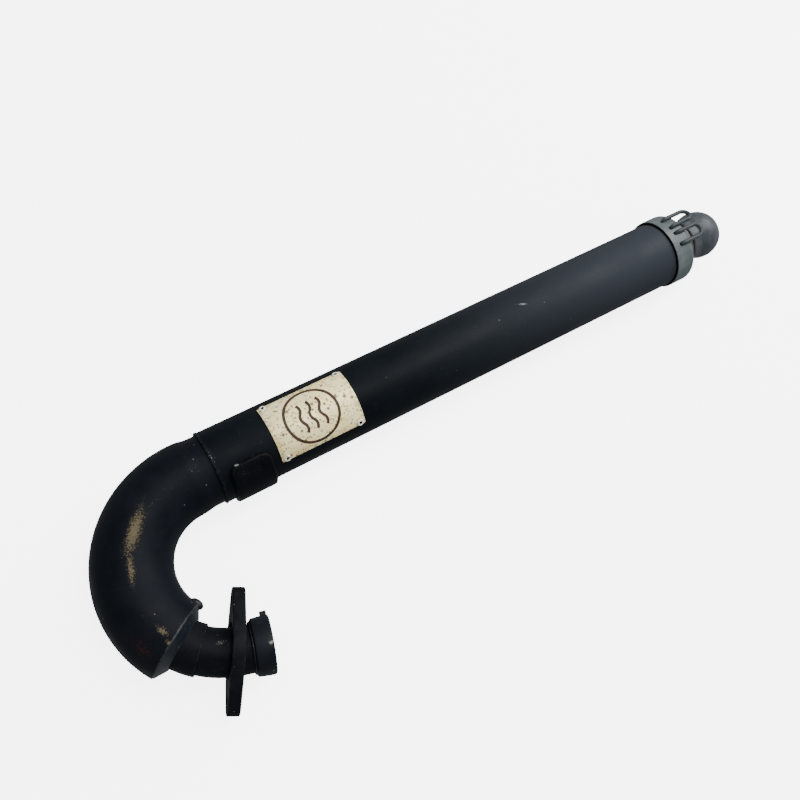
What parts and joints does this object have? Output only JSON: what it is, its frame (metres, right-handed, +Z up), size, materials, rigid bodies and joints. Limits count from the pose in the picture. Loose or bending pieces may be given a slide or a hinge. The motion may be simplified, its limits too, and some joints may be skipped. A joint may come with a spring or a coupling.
{
  "type": "heat-shielded exhaust head pipe",
  "caption": "J-shaped exhaust head pipe inside a tubular heat shield, with a loose oval flange at the inlet, a riveted warning plate and a spring-hooked ball outlet.",
  "frame": {"origin": "middle of the open inlet end of the pipe", "axes": "+X along the straight shield tube towards the outlet, +Z up as the part lies flat, the hook of the J towards -Y"},
  "size_m": [0.6803, 0.2195, 0.0719],
  "materials": {
    "black_paint": "matte high-temperature paint, scuffed",
    "stub_steel": "matte black, darkened by heat",
    "flange_steel": "matte black on thick plate, worn edges",
    "ring_steel": "thin grey-black paint",
    "bare_steel": "bare, heat-toned",
    "grey_paint": "satin dark grey",
    "spring_wire": "satin dark grey wire",
    "plate_metal": "aged nickel-toned plate, etched and specked",
    "rivet_metal": "plated tubular rivets"
  },
  "bodies": {
    "pipe": {"head_bend": "stub_steel", "core_pipe": "bare_steel", "inlet_collar": "stub_steel", "collar_tab": "stub_steel", "collar_weld": "stub_steel", "neck_sleeve": "stub_steel", "elbow_end_ring": "ring_steel", "elbow_shell_upper": "black_paint", "elbow_shell_lower": "black_paint", "elbow_weld_inner": "black_paint", "elbow_weld_outer": "black_paint", "elbow_spacer": "bare_steel", "shield_tube": "black_paint", "front_spacer": "bare_steel", "rear_spacer": "bare_steel", "saddle_pad": "black_paint", "warning_plate": "plate_metal", "plate_rivets": "rivet_metal", "end_cap": "grey_paint", "cap_weld": "grey_paint", "outlet_ball": "grey_paint", "ball_weld": "grey_paint", "spring_hook_upper": "spring_wire", "spring_hook_lower": "spring_wire"},
    "flange": {"head_flange": "flange_steel"}
  },
  "joints": [
    {"name": "flange_spin", "type": "hinge", "parent": "pipe", "child": "flange", "pos_m": [-0.02775, 0.00863, 0], "axis": [0.9367, -0.3502, 0], "continuous": true}
  ]
}
